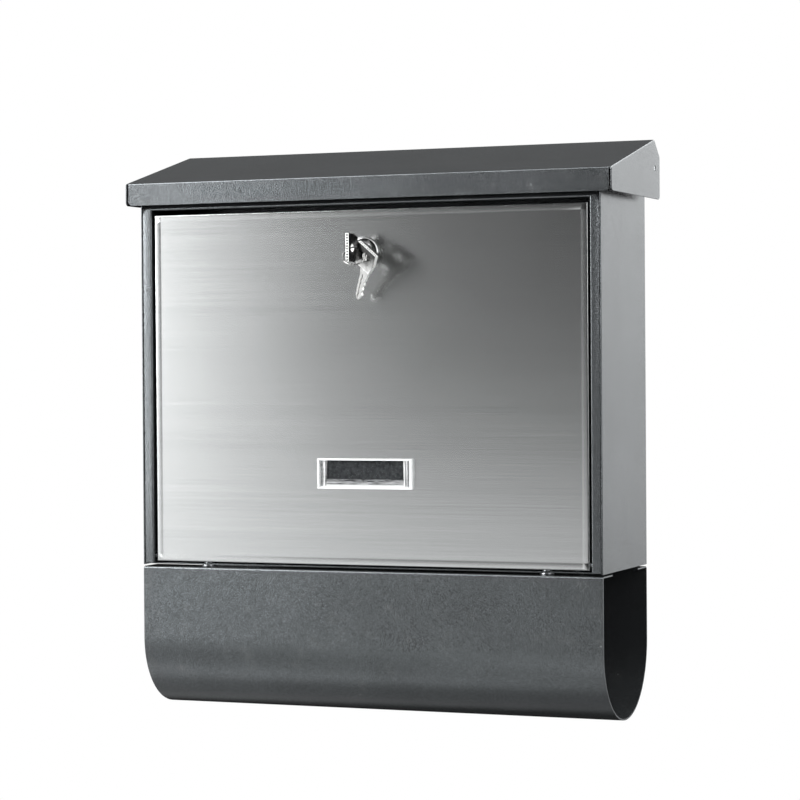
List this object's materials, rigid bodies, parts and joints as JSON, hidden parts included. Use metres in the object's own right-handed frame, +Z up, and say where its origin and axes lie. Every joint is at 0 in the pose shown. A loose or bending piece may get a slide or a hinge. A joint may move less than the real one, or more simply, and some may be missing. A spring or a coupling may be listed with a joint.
{
  "type": "wall mounted mailbox",
  "caption": "Wall mounted mailbox with a hinged roof lid, a drop-down brushed steel door with cam lock and keys, a nameplate and an open newspaper tube underneath.",
  "frame": {"origin": "centre of the four wall holes, on the wall plane that the spacers stand on", "axes": "+Z up, +Y into the wall (the front faces -Y), +X to the right as seen from the front"},
  "size_m": [0.37, 0.1472, 0.409],
  "materials": {
    "anthracite_paint": "fine-textured powder coat",
    "brushed_stainless": "horizontally brushed",
    "zinc_steel": "bright zinc plated",
    "chrome_plate": "polished",
    "key_nickel": "nickel plated",
    "clear_plastic": "clear moulded plastic",
    "black_plastic": "matt moulded",
    "black_rubber": "soft",
    "black_card": "matt card"
  },
  "bodies": {
    "housing": {"side_panel_left": "anthracite_paint", "side_panel_right": "anthracite_paint", "back_panel": "anthracite_paint", "bottom_panel": "anthracite_paint", "front_frame": "anthracite_paint", "mail_slot_plate": "anthracite_paint", "wall_spacers": "black_plastic", "lid_buffers": "black_rubber", "lid_hinge_rod": "zinc_steel", "rod_clips": "zinc_steel", "rod_sleeves": "black_plastic", "door_hinge_pins": "zinc_steel", "newspaper_tube": "anthracite_paint", "rivet_nuts": "zinc_steel", "tube_screws": "zinc_steel"},
    "lid": {"roof_lid": "anthracite_paint"},
    "door": {"door_skin": "brushed_stainless", "door_pan": "anthracite_paint", "lock_housing": "chrome_plate", "lock_nut": "zinc_steel", "nameplate_frame": "clear_plastic", "nameplate_window": "clear_plastic", "name_card": "black_card", "nameplate_retainer": "black_plastic"},
    "lock": {"lock_plug": "chrome_plate", "lock_cam": "zinc_steel", "cam_screw": "zinc_steel", "key_in_lock": "key_nickel"},
    "ring": {"key_ring": "key_nickel"},
    "spare_key": {"spare_key": "key_nickel"}
  },
  "joints": [
    {"name": "lid_hinge", "type": "hinge", "parent": "housing", "child": "lid", "pos_m": [0, -0.016, 0.1521], "axis": [-1, 0, 0], "range_deg": [0, 48]},
    {"name": "door_hinge", "type": "hinge", "parent": "housing", "child": "door", "pos_m": [0, -0.1087, -0.1248], "axis": [1, 0, 0], "range_deg": [0, 110]},
    {"name": "lock_turn", "type": "hinge", "parent": "door", "child": "lock", "pos_m": [0, -0.105, 0.0925], "axis": [0, -1, 0], "range_deg": [0, 90]},
    {"name": "ring_swing", "type": "hinge", "parent": "lock", "child": "ring", "pos_m": [0, -0.1361, 0.0951], "axis": [-1, 0, 0], "range_deg": [0, 30]},
    {"name": "spare_key_swing", "type": "hinge", "parent": "ring", "child": "spare_key", "pos_m": [0.0135, -0.1406, 0.0886], "axis": [0.4958, 0.8404, 0.2189], "range_deg": [-8, 8]}
  ]
}
